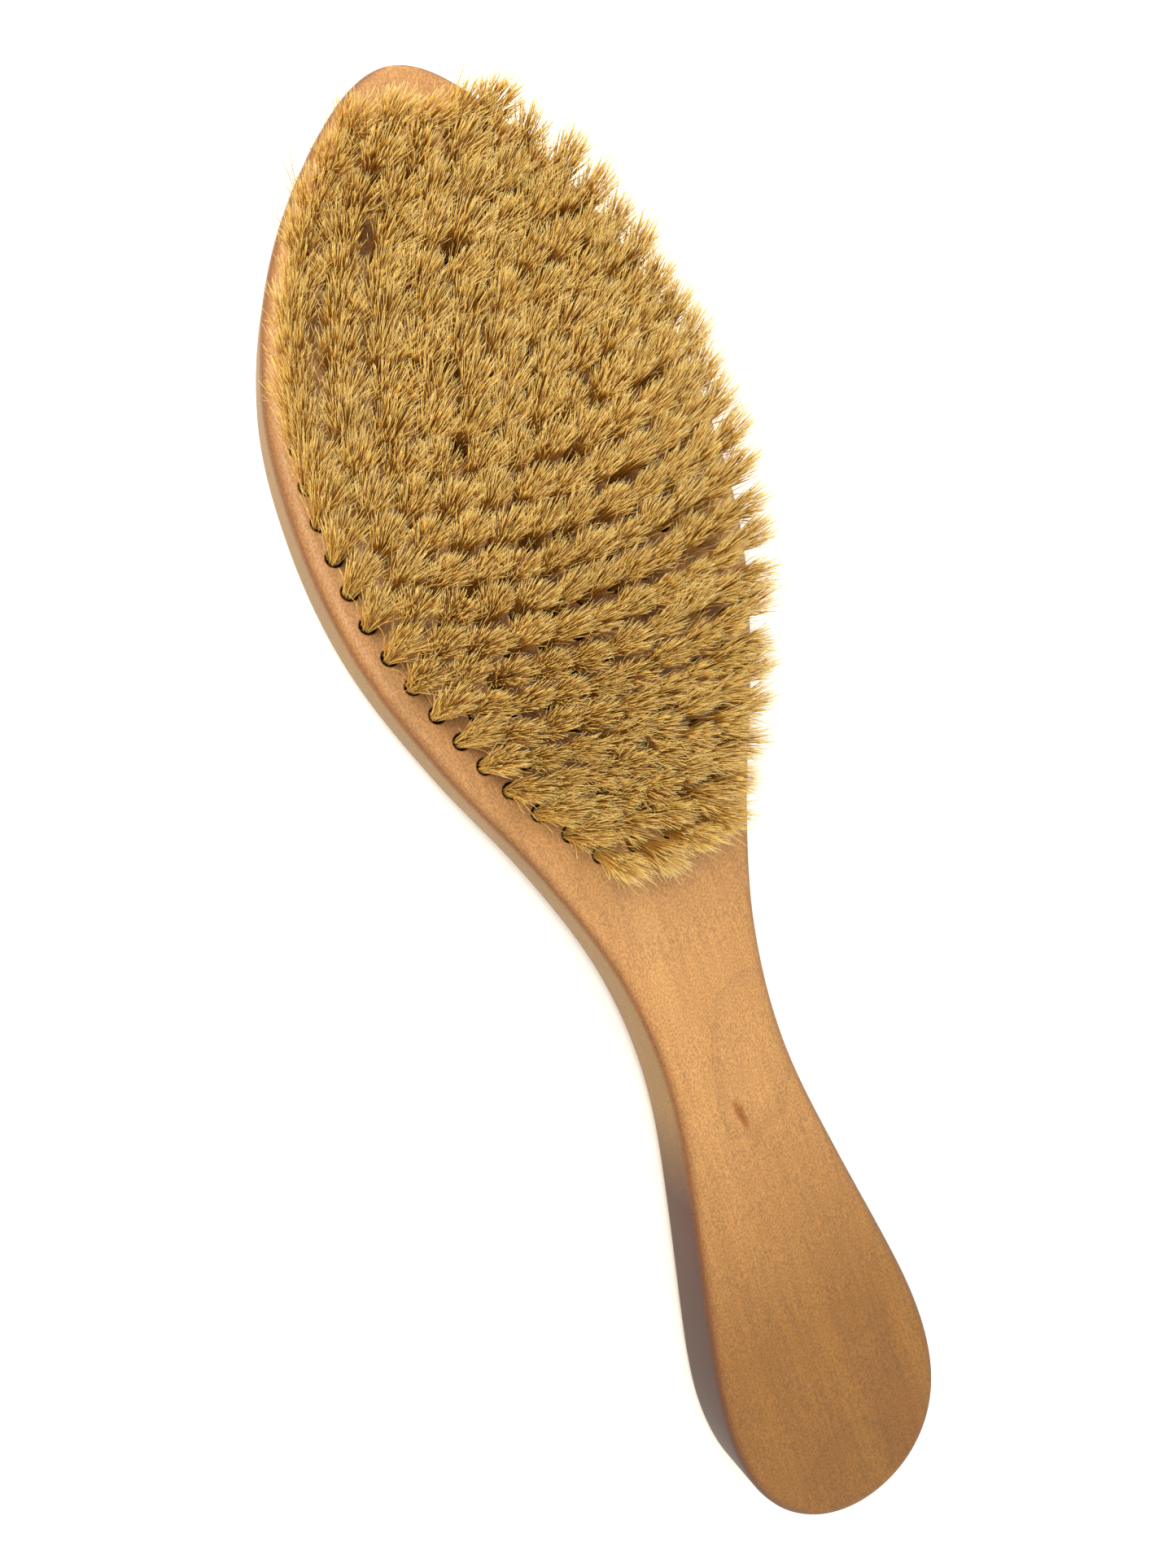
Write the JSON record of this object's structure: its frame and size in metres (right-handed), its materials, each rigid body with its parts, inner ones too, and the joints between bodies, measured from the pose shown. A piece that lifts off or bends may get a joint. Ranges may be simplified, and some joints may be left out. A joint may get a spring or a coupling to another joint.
{
  "type": "long-handled bristle brush",
  "caption": "Wooden brush with a leaf-shaped head, slim neck and rounded paddle handle, set with rows of natural bristle tufts in drilled holes.",
  "frame": {"origin": "on the surface that the brush lies on, under the middle of its outer box", "axes": "+Y from the end of the handle to the tip of the head, +Z the way the bristles point, +X across"},
  "size_m": [0.0706, 0.2348, 0.0271],
  "materials": {
    "lacquered_wood": "clear satin lacquer over fine straight grain",
    "bristle": "natural blond bristle with split tips"
  },
  "bodies": {
    "root": {"wood_body": "lacquered_wood", "tuft_row_01": "bristle", "tuft_row_02": "bristle", "tuft_row_03": "bristle", "tuft_row_04": "bristle", "tuft_row_05": "bristle", "tuft_row_06": "bristle", "tuft_row_07": "bristle", "tuft_row_08": "bristle", "tuft_row_09": "bristle", "tuft_row_10": "bristle", "tuft_row_11": "bristle", "tuft_row_12": "bristle", "tuft_row_13": "bristle", "tuft_row_14": "bristle", "tuft_row_15": "bristle", "tuft_row_16": "bristle", "tuft_row_17": "bristle", "tuft_row_18": "bristle", "tuft_row_19": "bristle", "tuft_row_20": "bristle", "tuft_row_21": "bristle", "tuft_row_22": "bristle", "tuft_row_23": "bristle"}
  },
  "joints": []
}
